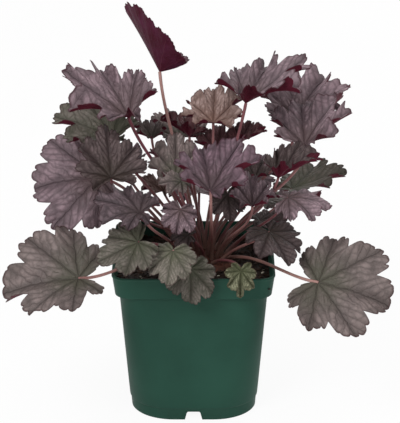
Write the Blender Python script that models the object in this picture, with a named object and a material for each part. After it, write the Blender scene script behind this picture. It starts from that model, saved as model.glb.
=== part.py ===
"""Potted coral bells: a heuchera in a square green nursery pot, at real size.

Metres, +Z up. The origin is the middle of the pot's footprint, on the ground.
+X is to the right and -Y points at somebody standing in front of the pot.
Every leaf is one body, its blade and its stalk together, as it grew.
"""

import math
from collections import namedtuple

import bmesh
import bpy
from mathutils import Matrix, Vector

MM = 0.001

# Pot, in metres: half widths are from the axis to the middle of a side.
POT_HEIGHT = 0.114
RIM_HALF = 0.0575
RIM_CORNER = 0.0105
RIM_BAND = 0.0165
RIM_STEP = 0.0029
BODY_TOP_HALF = 0.0524
BODY_TOP_CORNER = 0.014
FOOT_HALF = 0.0463
FOOT_CORNER = 0.0305
FOOT_BAND = 0.0095
FOOT_INSET = 0.0008
WALL = 0.0016
LIP = 0.0012
LIP_EASE = 0.0003
DRAFT = 0.0006
SHOULDER_RISE = 0.001
SHOULDER_THICKNESS = 0.0018
SHOULDER_INNER_LIFT = 0.0002
FLOOR_UNDERSIDE = 0.0075
FLOOR_THICKNESS = 0.0018
CORNER_STEPS = 8
NOTCH_TOP_WIDTH = 0.0093
NOTCH_BOTTOM_WIDTH = 0.0125
NOTCH_HEIGHT = 0.0065
NOTCH_CUT_DEPTH = 0.012
DRAIN_RADIUS = 0.005
DRAIN_OFFSET = 0.027
DRAIN_SIDES = 16
CUTTER_OVERRUN = 0.002

# Soil and crown.
GAP = 0.0003
SOIL_TOP = 0.105
SOIL_MOUND = 0.0015
SOIL_MARGIN = 0.0025
SOIL_FLAT_HALF = 0.0414
SOIL_FLAT_CORNER = 0.023
CROWN_X = 0.008
CROWN_Y = -0.002
CROWN_RADIUS = 0.0205
CROWN_HEIGHT = 0.0065
CROWN_EDGE = 0.0012
CROWN_LEVELS = (CROWN_RADIUS, 0.0145, 0.0085, 0.0035)
CROWN_SIDES = 20

# Blade outline: seven lobes, three on each side of the tip, and a deep gap at the stalk.
# Reaches are shares of the leaf's length.
SIDE_LOBES = 3
LOBE_SPACING = math.radians(43)
LOBE_REACH = (SIDE_LOBES + 0.5) * LOBE_SPACING
LOBE_SHOULDER = 0.27
BASAL_REACH = 0.5
SINUS_REACH = 0.13
TAPER_POWER = 1.2
NOTCH_DEPTH = 0.2
NOTCH_POWER = 1.6
SINUS_NOTCH = 0.3
TOOTH_DEPTH = 0.07
UNEVEN_WIDE = 0.04
UNEVEN_FINE = 0.03

# Blade relief and stalks. Angles are in degrees.
BLADE_THICKNESS = 0.0006
BLADE_WAVE = 5
FOLD_SPREAD = 3
STALK_SIDES = 6
STALK_SEGMENTS = 6
STALK_BASE_RADIUS = 0.0013
STALK_TIP_RADIUS = 0.0007
STALK_RADIUS_PER_LENGTH = 0.007
STALK_TOP_HANDLE = 0.3
STALK_ROOT_HANDLE = 0.38
STALK_SPRING = 18
STALK_STEEPEST = 85

# The stalks stand on the crown in rings: radius, lift over the crown, share of the leaves.
ROOT_RINGS = (
    (0.017, 0.0024, 0.42),
    (0.0115, 0.0018, 0.36),
    (0.0055, 0.0014, 0.22),
)

# junction: where the stalk meets the blade, in millimetres.
# bearing, pitch, roll: the way the tip points and how the blade turns about that, in degrees.
# length: junction to tip, in millimetres.
# cup, fold, curl, pleat: how the blade rises around its junction, folds along its midrib,
# bends towards its margin and buckles between its lobes, in degrees.
# neck: the angle between the stalk's end and the midrib line, in degrees.
Leaf = namedtuple(
    "Leaf", "name junction bearing pitch roll length cup fold curl pleat neck tone"
)
LEAVES = (
    Leaf("leaf_top_fan", (-24, 28, 239), 164, 21, -28, 57, 37, 0, 0, 2, 60, "burgundy"),
    Leaf("leaf_upper_left", (-45, -16, 219), 162, -2, 14, 56, 44, 0, -8, 6, 80, "purple"),
    Leaf("leaf_left_green", (-57, 6, 196), 166, 0, 14, 46, 30, 0, -5, 5, 75, "green"),
    Leaf("leaf_broad_left", (-67, -6, 171), -172, 0, 55, 54, 0, 8, -12, 5, 35, "purple"),
    Leaf("leaf_dark_left", (-57, -41, 184), 100, 34, 0, 37, 25, 0, -5, 6, 75, "dark"),
    Leaf("leaf_left_lower", (-37, -61, 165), 165, 2, 14, 34, 26, 0, -5, 6, 65, "purple"),
    Leaf("leaf_side_left", (-80, -60, 116), 180, -4, 27, 56, 0, 22, -5, 4, 8, "grey"),
    Leaf("leaf_side_right", (87, -60, 113), -14, -7, -36, 56, 0, 8, -5, 4, 8, "grey"),
    Leaf("leaf_rim_left", (-38, -70, 147), -165, -22, 40, 30, 5, 0, -8, 6, 55, "green"),
    Leaf("leaf_rim_front", (-14, -69, 140), -105, -40, 5, 25, 0, 0, -15, 5, 55, "green"),
    Leaf("leaf_rim_middle", (-3, -36, 139), 172, -5, 22, 15, 0, 0, -10, 6, 65, "dark"),
    Leaf("leaf_front_drape", (-2, -59, 123), -90, -76, 0, 26, 0, 0, 0, 8, 65, "green"),
    Leaf("leaf_rim_curled", (33, -59, 121), -95, -72, 5, 18, 0, 25, 10, 8, 65, "olive"),
    Leaf("leaf_right_lower", (53, -44, 144), -60, -22, 0, 31, 5, 0, -8, 6, 65, "dark"),
    Leaf("leaf_right_cup", (59, -37, 182), 12, -6, 0, 36, 42, 0, 0, 6, 82, "dark"),
    Leaf("leaf_right_blade", (72, 42, 145), 8, 16, 6, 41, 0, 12, 0, 4, 50, "green"),
    Leaf("leaf_right_purple", (66, -44, 170), -5, 5, -10, 31, 0, 5, -20, 6, 65, "purple"),
    Leaf("leaf_high_right", (79, 4, 192), 45, 16, 0, 48, 34, 0, -5, 7, 80, "purple"),
    Leaf("leaf_high_back", (76, 48, 196), 60, 8, 0, 52, 38, 0, -8, 7, 85, "grey"),
    Leaf("leaf_high_middle", (37, 5, 223), 22, -7, 2, 53, 40, 0, -5, 6, 85, "purple"),
    Leaf("leaf_pleated_top", (14, 12, 206), 88, 12, 0, 34, 22, 0, 0, 9, 85, "olive"),
    Leaf("leaf_burgundy_back", (-3, 34, 188), 150, 0, -15, 28, 33, 0, 0, 8, 80, "dark"),
    Leaf("leaf_upper_middle", (-30, 26, 189), 120, 0, 0, 20, 35, 0, 0, 8, 80, "grey"),
    Leaf("leaf_pleated_centre", (-12, -17, 176), 93, 14, 0, 33, 36, 0, -5, 11, 85, "grey"),
    Leaf("leaf_front_purple", (12, -58, 180), 55, 12, -5, 47, 36, 0, -5, 7, 85, "purple"),
    Leaf("leaf_small_upper", (33, 16, 190), 20, 0, 0, 23, 33, 0, 0, 7, 80, "dark"),
    Leaf("leaf_puckered_right", (41, -43, 163), 95, 10, 0, 27, 40, 0, -5, 8, 85, "purple"),
    Leaf("leaf_edge_right", (44, 18, 162), 110, 0, 0, 22, 30, 0, 0, 7, 80, "dark"),
    Leaf("leaf_dark_centre", (24, -26, 166), -80, -50, -10, 20, 5, 0, -10, 8, 70, "dark"),
    Leaf("leaf_star", (-9, -47, 162), -110, -55, 15, 19, 0, 0, -5, 10, 65, "purple"),
    Leaf("leaf_brown_centre", (-22, 24, 150), 150, 0, 10, 20, 25, 0, 0, 10, 75, "olive"),
    Leaf("leaf_grey_centre", (-8, -47, 183), 190, 0, 20, 17, 10, 0, -10, 8, 75, "grey"),
    Leaf("leaf_back_left", (-50, 46, 162), 140, 8, 0, 34, 15, 0, -10, 8, 70, "purple"),
    Leaf("leaf_back_high", (-10, 56, 180), 100, 5, 0, 32, 20, 0, -5, 10, 75, "grey"),
    Leaf("leaf_back_right", (38, 52, 150), 60, 5, 0, 32, 15, 0, -10, 6, 75, "purple"),
    Leaf("leaf_low_back_left", (-50, 54, 128), 130, -5, 0, 32, 5, 0, -15, 6, 55, "green"),
    Leaf("leaf_low_back_right", (54, 60, 130), 40, -5, 0, 34, 5, 0, -12, 6, 55, "grey"),
    Leaf("leaf_low_back", (4, 66, 134), 88, -5, 0, 34, 5, 0, -12, 6, 60, "purple"),
    Leaf("leaf_dark_right", (48, 13, 131), 20, 0, 0, 23, 10, 0, -5, 8, 65, "dark"),
    Leaf("leaf_inner_back", (17, 31, 177), 82, 12, 0, 25, 32, 0, 0, 9, 80, "dark"),
)

# Colours (sRGB, 0 to 1) and the roughness of each finish.
POT_GREEN = (0.18, 0.30, 0.25)
POT_ROUGHNESS = 0.45
SOIL_BROWN = (0.10, 0.08, 0.06)
SOIL_ROUGHNESS = 0.95
CROWN_BROWN = (0.22, 0.12, 0.10)
CROWN_ROUGHNESS = 0.9
LEAF_ROUGHNESS = 0.5
LEAF_TONES = {
    "purple": (0.42, 0.35, 0.39),
    "grey": (0.38, 0.36, 0.34),
    "green": (0.30, 0.30, 0.25),
    "olive": (0.34, 0.31, 0.23),
    "dark": (0.22, 0.17, 0.17),
    "burgundy": (0.27, 0.12, 0.19),
}


def linear(channel):
    """One sRGB channel as the linear value that a shader takes."""
    return channel / 12.92 if channel <= 0.04045 else ((channel + 0.055) / 1.055) ** 2.4


def make_material(name, colour, roughness):
    material = bpy.data.materials.new(name)
    material.use_nodes = True
    shader = material.node_tree.nodes["Principled BSDF"]
    shader.inputs["Base Color"].default_value = (*[linear(c) for c in colour], 1.0)
    shader.inputs["Roughness"].default_value = roughness
    shader.inputs["Metallic"].default_value = 0.0
    return material


def finish_object(name, mesh_builder, material):
    """Turn a bmesh, its faces already wound to point out, into a named object."""
    mesh = bpy.data.meshes.new(name)
    mesh_builder.to_mesh(mesh)
    mesh_builder.free()
    mesh.shade_smooth()
    mesh.set_sharp_from_angle(angle=math.radians(40))
    obj = bpy.data.objects.new(name, mesh)
    bpy.context.collection.objects.link(obj)
    if material:
        mesh.materials.append(material)
    return obj


def skin(mesh_builder, lower, upper):
    """Close the strip between two rings of the same length with quads."""
    count = len(lower)
    for i in range(count):
        j = (i + 1) % count
        mesh_builder.faces.new((lower[i], lower[j], upper[j], upper[i]))


# ---------------------------------------------------------------- pot


def square_ring(half, corner, z):
    """Points of a square with round corners, counter-clockwise from its right side."""
    points = []
    for quarter in range(4):
        turn = Matrix.Rotation(quarter * math.pi / 2, 2)
        for step in range(CORNER_STEPS + 1):
            angle = step / CORNER_STEPS * math.pi / 2
            corner_point = Vector((half - corner, half - corner)) + corner * Vector(
                (math.cos(angle), math.sin(angle))
            )
            flat = turn @ corner_point
            points.append(Vector((flat.x, flat.y, z)))
    return points


def body_section(z):
    """Half width and corner radius of the pot's outer body at a height."""
    share = (z - FOOT_BAND) / (POT_HEIGHT - RIM_BAND - FOOT_BAND)
    half = FOOT_HALF + (BODY_TOP_HALF - FOOT_HALF) * share
    corner = FOOT_CORNER + (BODY_TOP_CORNER - FOOT_CORNER) * share
    return half, corner


def notch_cutter(quarter):
    """Wedge that cuts a drain notch through the foot band in the middle of a side."""
    builder = bmesh.new()
    slope = (NOTCH_BOTTOM_WIDTH - NOTCH_TOP_WIDTH) / (2 * NOTCH_HEIGHT)
    rings = []
    low, high = -CUTTER_OVERRUN, NOTCH_HEIGHT
    for x in (FOOT_HALF - NOTCH_CUT_DEPTH, FOOT_HALF + CUTTER_OVERRUN):
        ring = []
        for side, z in ((-1, low), (1, low), (1, high), (-1, high)):
            width = NOTCH_TOP_WIDTH / 2 + slope * (NOTCH_HEIGHT - z)
            ring.append(builder.verts.new((x, side * width, z)))
        rings.append(ring)
    skin(builder, rings[0], rings[1])
    builder.faces.new(reversed(rings[0]))
    builder.faces.new(rings[1])
    cutter = finish_object(f"cutter_notch_{quarter}", builder, None)
    cutter.rotation_euler.z = quarter * math.pi / 2
    return cutter


def drain_cutter(name, x, y):
    builder = bmesh.new()
    bmesh.ops.create_cone(
        builder,
        cap_ends=True,
        segments=DRAIN_SIDES,
        radius1=DRAIN_RADIUS,
        radius2=DRAIN_RADIUS,
        depth=FLOOR_THICKNESS + 2 * CUTTER_OVERRUN,
    )
    cutter = finish_object(name, builder, None)
    cutter.location = (x, y, FLOOR_UNDERSIDE + FLOOR_THICKNESS / 2)
    return cutter


def make_pot():
    """Thin moulded pot: banded rim, tapered body, foot skirt and a raised floor."""
    body_top = POT_HEIGHT - RIM_BAND
    floor_top = FLOOR_UNDERSIDE + FLOOR_THICKNESS
    foot_half, foot_corner = body_section(FOOT_BAND)
    outer = [
        (foot_half - FOOT_INSET - DRAFT, foot_corner, 0.0),
        (foot_half - FOOT_INSET, foot_corner, FOOT_BAND - DRAFT),
        (foot_half, foot_corner, FOOT_BAND),
        (*body_section((FOOT_BAND + body_top) / 2), (FOOT_BAND + body_top) / 2),
        (BODY_TOP_HALF, BODY_TOP_CORNER, body_top),
        (BODY_TOP_HALF + RIM_STEP, RIM_CORNER + SHOULDER_RISE, body_top + SHOULDER_RISE),
        (RIM_HALF - DRAFT, RIM_CORNER, POT_HEIGHT - LIP - DRAFT),
        (RIM_HALF, RIM_CORNER, POT_HEIGHT - LIP),
        (RIM_HALF - LIP_EASE, RIM_CORNER, POT_HEIGHT),
    ]
    shoulder_top = body_top + SHOULDER_RISE + SHOULDER_THICKNESS
    shoulder_z = body_top + SHOULDER_INNER_LIFT
    shoulder_half, shoulder_corner = body_section(shoulder_z)
    floor_half, floor_corner = body_section(floor_top)
    under_half, under_corner = body_section(FLOOR_UNDERSIDE)
    inner = [
        (RIM_HALF - WALL - DRAFT, RIM_CORNER - WALL, POT_HEIGHT),
        (BODY_TOP_HALF + RIM_STEP - WALL, RIM_CORNER + SHOULDER_RISE - WALL, shoulder_top),
        (shoulder_half - WALL, shoulder_corner - WALL, shoulder_z),
        (floor_half - WALL, floor_corner - WALL, floor_top),
    ]
    skirt = [
        (under_half - FOOT_INSET - WALL, under_corner - WALL, FLOOR_UNDERSIDE),
        (foot_half - FOOT_INSET - 2 * DRAFT - WALL, foot_corner - WALL, 0.0),
    ]
    builder = bmesh.new()
    rings = []
    for half, corner, z in outer + inner:
        rings.append([builder.verts.new(p) for p in square_ring(half, corner, z)])
    for lower, upper in zip(rings, rings[1:]):
        skin(builder, lower, upper)
    builder.faces.new(rings[-1])
    under = []
    for half, corner, z in skirt:
        under.append([builder.verts.new(p) for p in square_ring(half, corner, z)])
    builder.faces.new(reversed(under[0]))
    skin(builder, under[0], under[1])
    skin(builder, under[1], rings[0])
    pot = finish_object("pot", builder, make_material("pot_plastic", POT_GREEN, POT_ROUGHNESS))
    cutters = [notch_cutter(quarter) for quarter in range(4)]
    cutters.append(drain_cutter("cutter_drain_middle", 0, 0))
    for quarter in range(4):
        angle = quarter * math.pi / 2
        x, y = DRAIN_OFFSET * math.cos(angle), DRAIN_OFFSET * math.sin(angle)
        cutters.append(drain_cutter(f"cutter_drain_{quarter}", x, y))
    for cutter in cutters:
        cutter.hide_render = True
        cutter.display_type = "WIRE"
        cut = pot.modifiers.new(cutter.name, "BOOLEAN")
        cut.operation = "DIFFERENCE"
        cut.solver = "EXACT"
        cut.object = cutter
    return pot


def make_soil():
    """The root ball: potting mix that fills the pot up to a low mound."""
    body_top = POT_HEIGHT - RIM_BAND
    floor_z = FLOOR_UNDERSIDE + FLOOR_THICKNESS + GAP
    levels = []
    for z in (floor_z, body_top):
        half, corner = body_section(z)
        levels.append((half - WALL - 2 * GAP, corner - WALL, z))
    ledge_z = body_top + SHOULDER_RISE + SHOULDER_THICKNESS + 2 * GAP
    levels.append((BODY_TOP_HALF + RIM_STEP - WALL - 3 * GAP, RIM_CORNER, ledge_z))
    levels.append((RIM_HALF - WALL - SOIL_MARGIN, RIM_CORNER, SOIL_TOP - SOIL_MOUND))
    levels.append((SOIL_FLAT_HALF, SOIL_FLAT_CORNER, SOIL_TOP))
    builder = bmesh.new()
    rings = []
    for half, corner, z in levels:
        rings.append([builder.verts.new(p) for p in square_ring(half, corner, z)])
    for lower, upper in zip(rings, rings[1:]):
        skin(builder, lower, upper)
    builder.faces.new(reversed(rings[0]))
    builder.faces.new(rings[-1])
    return finish_object("potting_soil", builder, make_material("soil", SOIL_BROWN, SOIL_ROUGHNESS))


def crown_height(radius):
    """Top of the crown dome at a distance from its axis."""
    share = min(1.0, radius / CROWN_RADIUS)
    return SOIL_TOP + GAP + CROWN_EDGE + CROWN_HEIGHT * (1 - share * share)


def make_crown():
    """The woody crown that the leaf stalks grow from, a low dome on the soil."""
    builder = bmesh.new()
    levels = [(CROWN_RADIUS, SOIL_TOP + GAP)]
    levels += [(radius, crown_height(radius)) for radius in CROWN_LEVELS]
    rings = []
    for radius, z in levels:
        ring = []
        for side in range(CROWN_SIDES):
            angle = side / CROWN_SIDES * math.tau
            x = CROWN_X + radius * math.cos(angle)
            y = CROWN_Y + radius * math.sin(angle)
            ring.append(builder.verts.new((x, y, z)))
        rings.append(ring)
    for lower, upper in zip(rings, rings[1:]):
        skin(builder, lower, upper)
    builder.faces.new(reversed(rings[0]))
    builder.faces.new(rings[-1])
    return finish_object("crown", builder, make_material("crown", CROWN_BROWN, CROWN_ROUGHNESS))


# ---------------------------------------------------------------- leaves


def margin(theta, seed):
    """Distance from the junction to the margin, as a share of the leaf's length."""
    turn = abs(theta)
    last_lobe = SIDE_LOBES * LOBE_SPACING
    reach = 1 - (1 - BASAL_REACH) * (turn / last_lobe) ** TAPER_POWER
    if turn > last_lobe:
        share = (turn - last_lobe) / (math.pi - last_lobe)
        smooth = share * share * (3 - 2 * share)
        reach = BASAL_REACH + (SINUS_REACH - BASAL_REACH) * smooth
    notch = SINUS_NOTCH
    tooth = 0.0
    if turn <= LOBE_REACH:
        phase = theta / LOBE_SPACING
        notch = ((1 - math.cos(math.tau * phase)) / 2) ** NOTCH_POWER
        tooth = 1 - abs(math.cos(3 * math.pi * phase))
    uneven = 1 + UNEVEN_WIDE * math.sin(3 * theta + seed) + UNEVEN_FINE * math.sin(5 * theta + 2 * seed)
    return reach * (1 - NOTCH_DEPTH * notch) * (1 - TOOTH_DEPTH * tooth) * uneven


def blade_point(leaf, theta, share, seed):
    """Point of the upper surface: x to the tip, y to the left, z out of the face."""
    reach = margin(theta, seed) * leaf.length * MM * share
    buckle = -leaf.pleat * math.cos(math.tau * theta / LOBE_SPACING)
    if abs(theta) > LOBE_REACH:
        buckle = leaf.pleat
    wave = BLADE_WAVE * math.sin(2 * theta + seed)
    rise = math.radians(leaf.cup + (leaf.curl + buckle + wave) * share)
    x = reach * math.cos(rise) * math.cos(theta)
    y = reach * math.cos(rise) * math.sin(theta)
    z = reach * math.sin(rise)
    side = max(-1.0, min(1.0, FOLD_SPREAD * math.sin(theta)))
    return Matrix.Rotation(math.radians(leaf.fold) * side, 3, "X") @ Vector((x, y, z))


def leaf_frame(leaf):
    """Matrix that takes a blade's own frame to the pot's: tip, left side, upper normal."""
    bearing, pitch, roll = (math.radians(a) for a in (leaf.bearing, leaf.pitch, leaf.roll))
    tip = Vector(
        (
            math.cos(pitch) * math.cos(bearing),
            math.cos(pitch) * math.sin(bearing),
            math.sin(pitch),
        )
    )
    level_left = Vector((-math.sin(bearing), math.cos(bearing), 0))
    up = tip.cross(level_left)
    normal = up * math.cos(roll) + level_left * math.sin(roll)
    left = normal.cross(tip)
    frame = Matrix((tip, left, normal)).transposed().to_4x4()
    frame.translation = Vector(leaf.junction) * MM
    return frame


def crown_azimuth(leaf):
    return math.atan2(leaf.junction[1] * MM - CROWN_Y, leaf.junction[0] * MM - CROWN_X)


def steepness(leaf):
    """Slope of the line from the crown to the junction, in radians."""
    x, y, z = (c * MM for c in leaf.junction)
    return math.atan2(z - SOIL_TOP, math.hypot(x - CROWN_X, y - CROWN_Y))


def root_points():
    """Place the stalks on the crown: old low leaves outside, young steep ones inside."""
    order = sorted(LEAVES, key=steepness)
    roots = {}
    start = 0
    for radius, lift, share in ROOT_RINGS:
        count = round(share * len(order))
        group = sorted(order[start : start + count], key=crown_azimuth)
        start += count
        step = math.tau / len(group)
        drift = sum(crown_azimuth(leaf) - i * step for i, leaf in enumerate(group))
        offset = drift / len(group)
        for index, leaf in enumerate(group):
            angle = offset + index * step
            x = CROWN_X + radius * math.cos(angle)
            y = CROWN_Y + radius * math.sin(angle)
            roots[leaf.name] = Vector((x, y, crown_height(radius) + lift))
    return roots


def stalk_path(leaf, root, frame):
    """Centre line of the stalk, from the junction down to the crown."""
    top = frame.translation
    neck = math.radians(leaf.neck)
    away = frame.to_3x3() @ Vector((-math.cos(neck), 0, -math.sin(neck)))
    length = (top - root).length
    outward = Vector((math.cos(crown_azimuth(leaf)), math.sin(crown_azimuth(leaf)), 0))
    slope = min(math.radians(STALK_STEEPEST), steepness(leaf) + math.radians(STALK_SPRING))
    leave = outward * math.cos(slope) + Vector((0, 0, math.sin(slope)))
    upper_handle = top + away * STALK_TOP_HANDLE * length
    lower_handle = root + leave * STALK_ROOT_HANDLE * length
    points = []
    for step in range(STALK_SEGMENTS + 1):
        t = step / STALK_SEGMENTS
        upper = top * (1 - t) ** 3 + upper_handle * 3 * t * (1 - t) ** 2
        lower = lower_handle * 3 * t * t * (1 - t) + root * t**3
        points.append(upper + lower)
    return points


def blade_columns():
    """The angles that an outline needs: every lobe's shoulders and every gap between lobes."""
    phases = [-SIDE_LOBES - 0.5]
    for lobe in range(-SIDE_LOBES, SIDE_LOBES + 1):
        phases += [lobe - LOBE_SHOULDER]
        phases += [0.0] if lobe == 0 else []
        phases += [lobe + LOBE_SHOULDER, lobe + 0.5]
    return [math.pi] + [phase * LOBE_SPACING for phase in phases]


def make_leaf(leaf, root, seed, material):
    """One leaf: a thin lobed blade whose underside runs on into its stalk."""
    frame = leaf_frame(leaf)
    columns = blade_columns()
    shares = (0.5, 1.0)
    builder = bmesh.new()
    centre = builder.verts.new(frame.translation)
    top_rings = []
    for share in shares:
        top_rings.append(
            [builder.verts.new(frame @ blade_point(leaf, a, share, seed)) for a in columns]
        )
    count = len(columns)
    for i in range(count):
        builder.faces.new((centre, top_rings[0][i], top_rings[0][(i + 1) % count]))
    skin(builder, top_rings[1], top_rings[0])
    builder.normal_update()
    under_rings = []
    for ring in top_rings:
        under_rings.append([builder.verts.new(v.co - v.normal * BLADE_THICKNESS) for v in ring])
    skin(builder, under_rings[1], top_rings[1])
    skin(builder, under_rings[0], under_rings[1])

    stalk_radius = STALK_TIP_RADIUS + STALK_RADIUS_PER_LENGTH * leaf.length * MM
    spacing = count // STALK_SIDES
    collar = []
    for k in range(STALK_SIDES):
        angle = columns[k * spacing]
        share = stalk_radius / (margin(angle, seed) * leaf.length * MM)
        point = blade_point(leaf, angle, share, seed) - Vector((0, 0, BLADE_THICKNESS))
        collar.append(builder.verts.new(frame @ point))
    for k in range(STALK_SIDES):
        first = k * spacing - spacing // 2
        for i in range(first, first + spacing):
            a, b = under_rings[0][i % count], under_rings[0][(i + 1) % count]
            builder.faces.new((collar[k], b, a))
        last = under_rings[0][(first + spacing) % count]
        builder.faces.new((collar[(k + 1) % STALK_SIDES], last, collar[k]))

    path = stalk_path(leaf, root, frame)
    ring = collar
    across = frame.to_3x3() @ Vector((1, 0, 0))
    for index in range(1, len(path)):
        ahead = path[min(index + 1, len(path) - 1)] - path[index - 1]
        ahead.normalize()
        across = (across - ahead * across.dot(ahead)).normalized()
        beside = across.cross(ahead)
        share = index / STALK_SEGMENTS
        radius = stalk_radius + (STALK_BASE_RADIUS - stalk_radius) * share**2
        following = []
        for k in range(STALK_SIDES):
            angle = columns[k * spacing]
            offset = across * math.cos(angle) + beside * math.sin(angle)
            following.append(builder.verts.new(path[index] + offset * radius))
        skin(builder, following, ring)
        ring = following
    builder.faces.new(reversed(ring))
    return finish_object(leaf.name, builder, material)


def build():
    for obj in list(bpy.data.objects):
        bpy.data.objects.remove(obj, do_unlink=True)
    make_pot()
    make_soil()
    make_crown()
    tones = {}
    for tone, colour in LEAF_TONES.items():
        tones[tone] = make_material(f"leaf_{tone}", colour, LEAF_ROUGHNESS)
    roots = root_points()
    for index, leaf in enumerate(LEAVES):
        make_leaf(leaf, roots[leaf.name], 1.7 * index, tones[leaf.tone])


build()
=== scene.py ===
"""Looks of the potted coral bells: fine leaves, stalks, crown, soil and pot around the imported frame.

Metres, +Z up, -Y towards the viewer. Every leaf repeats the part's own leaf table and formulas at a
fine resolution, so each blade and stalk lies where its solid is.
"""

from collections import namedtuple
from math import atan2, cos, exp, hypot, pi, radians, sin, tau

import bmesh
import bpy
import numpy as np
from mathutils import Matrix, Vector, noise


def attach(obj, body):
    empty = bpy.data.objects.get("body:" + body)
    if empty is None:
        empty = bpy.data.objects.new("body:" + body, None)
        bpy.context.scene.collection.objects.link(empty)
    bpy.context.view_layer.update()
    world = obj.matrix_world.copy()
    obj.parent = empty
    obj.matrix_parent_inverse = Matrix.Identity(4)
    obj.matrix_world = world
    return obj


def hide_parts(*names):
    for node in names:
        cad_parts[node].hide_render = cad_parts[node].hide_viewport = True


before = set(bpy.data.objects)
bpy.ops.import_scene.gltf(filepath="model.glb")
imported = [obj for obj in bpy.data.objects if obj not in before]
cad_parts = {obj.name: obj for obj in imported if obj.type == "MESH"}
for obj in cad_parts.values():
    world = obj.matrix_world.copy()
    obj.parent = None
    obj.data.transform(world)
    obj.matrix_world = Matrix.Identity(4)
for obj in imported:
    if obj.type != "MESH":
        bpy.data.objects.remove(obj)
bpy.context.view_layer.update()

MM = 0.001

# Pot, in metres. Its main sizes are the part's.
POT_HEIGHT = 0.114
RIM_HALF = 0.0575
RIM_CORNER = 0.0105
RIM_BAND = 0.0165
RIM_STEP = 0.0029
BODY_TOP_HALF = 0.0524
BODY_TOP_CORNER = 0.014
FOOT_HALF = 0.0463
FOOT_CORNER = 0.0305
FOOT_BAND = 0.0095
FOOT_INSET = 0.0008
WALL = 0.0016
LIP = 0.0012
DRAFT = 0.0006
FLOOR_UNDERSIDE = 0.0075
FLOOR_THICKNESS = 0.0018
BODY_TOP = POT_HEIGHT - RIM_BAND
SHOULDER_HALF = BODY_TOP_HALF + RIM_STEP
FLOOR_TOP = FLOOR_UNDERSIDE + FLOOR_THICKNESS
CORNER_STEPS = 24
SIDE_STEPS = 10
BODY_LEVELS = 9
NOTCH_TOP_WIDTH = 0.0093
NOTCH_BOTTOM_WIDTH = 0.0125
NOTCH_HEIGHT = 0.0065
NOTCH_CUT_DEPTH = 0.012
DRAIN_RADIUS = 0.005
DRAIN_OFFSET = 0.027
CUTTER_OVERRUN = 0.002
DRAIN_SIDES = 40
NOTCH_EASE = 0.0009
EASE_BEND = 0.3

# Soil and crown.
GAP = 0.0003
SOIL_TOP = 0.105
CROWN_X = 0.008
CROWN_Y = -0.002
CROWN_RADIUS = 0.0205
CROWN_HEIGHT = 0.0065
CROWN_EDGE = 0.0012
CROWN_SIDES = 96
CROWN_LEVELS = 22
CROWN_KNOB = 0.0012
CROWN_SKIRT = 0.003
SOIL_LAP = 0.0004
SOIL_SETTLED = 0.0022
SOIL_MOUND = 0.0016
SOIL_RINGS = 46
SOIL_CROWDING = 0.9
SOIL_ROUNDING = 0.55
SOIL_SHOULDER = 3
# Waves of a rough surface: how fine they are, their place in the noise, and their height. The
# soil's heights are in metres, and the crown's in knobs.
SOIL_WAVES = ((60, 0.3, 0.0011), (190, 5.1, 0.0008), (620, 9.7, 0.0004))
CROWN_WAVES = ((260, 2.0, 1.0), (700, 4.0, 0.5))
CHIPS_SEED = 41
CHIPS_WALL_GAP = 0.0022
CHIPS_CLEAR = 0.8
CHIPS_RAISED = 0.3
CHIPS_SUNK = 0.0006
CHIPS_STRETCH = (0.8, 1.9)
CHIPS_TILT = 0.5
CHIPS_ROUGHNESS = (0.72, 1.12)
# Loose bits: name, number, smallest and largest size, flatness, and the material's name and light.
# The grains that have no light are perlite.
CHIPS = (
    ("bark_chips", 420, (0.0009, 0.0024), 0.45, "bark_chips_brown", (1.5, 1.35, 1.2, 1.0)),
    ("peat_crumbs", 520, (0.0005, 0.0012), 0.75, "peat_crumbs_dark", (0.9, 0.85, 0.8, 1.0)),
    ("perlite_grains", 34, (0.0006, 0.0011), 0.8, "perlite", None),
)

# Blade outline, in shares of the leaf's length.
SIDE_LOBES = 3
LOBE_SPACING = radians(43)
LOBE_REACH = (SIDE_LOBES + 0.5) * LOBE_SPACING
BASAL_REACH = 0.5
CLEFT_REACH = 0.04
TAPER_POWER = 1.2
UNEVEN_WIDE = 0.04
UNEVEN_FINE = 0.03
SMALL_TEETH = 9
COLUMNS_PER_LOBE = 40
CLEFT_COLUMNS = 7
TOP_RINGS = 24
UNDER_RINGS = 9
RING_CROWDING = 0.92
TOOTH_VARIETY = 0.35
ROUND_TOOTH = 0.6
POINTED_TOOTH = 0.8

# Blade relief, angles in degrees.
BLADE_WAVE = 5
FOLD_SPREAD = 3
BLADE_THICKNESS = 0.00045
VEIN_STEP = 0.15
VEIN_SLANT = 1.05
VEIN_CURVE = 1.5
PLEAT_SHARPNESS = 1.2
PUFF_FULLNESS = 0.7
PUFF_FROM_VEIN = 0.05
PUFF_START = 0.1
PUFF_RISE = 0.15
PUFF_MARGIN = 0.06
PUFF_AT_MARGIN = 0.25
PUFF_INNERMOST = 0.08
BLADE_SHARP = 62
# The thin margin takes one plain place in the vein pattern.
MARGIN_VEINS = (1.0, 0.3)

# Stalks.
STALK_SIDES = 10
STALK_SEGMENTS = 26
STALK_BASE_RADIUS = 0.0013
STALK_TIP_RADIUS = 0.0007
STALK_RADIUS_PER_LENGTH = 0.007
STALK_TOP_HANDLE = 0.3
STALK_ROOT_HANDLE = 0.38
STALK_SPRING = 18
STALK_STEEPEST = 85
STALK_SINK = 0.0002
STALK_FLARE = 0.3
STALK_FLARE_FADE = 30
STALK_SWELLING = 0.15
STALK_SWELLING_FADE = 14
STALK_TOP_CAP = 0.8
ROOT_RINGS = (
    (0.017, 0.0024, 0.42),
    (0.0115, 0.0018, 0.36),
    (0.0055, 0.0014, 0.22),
)

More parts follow.
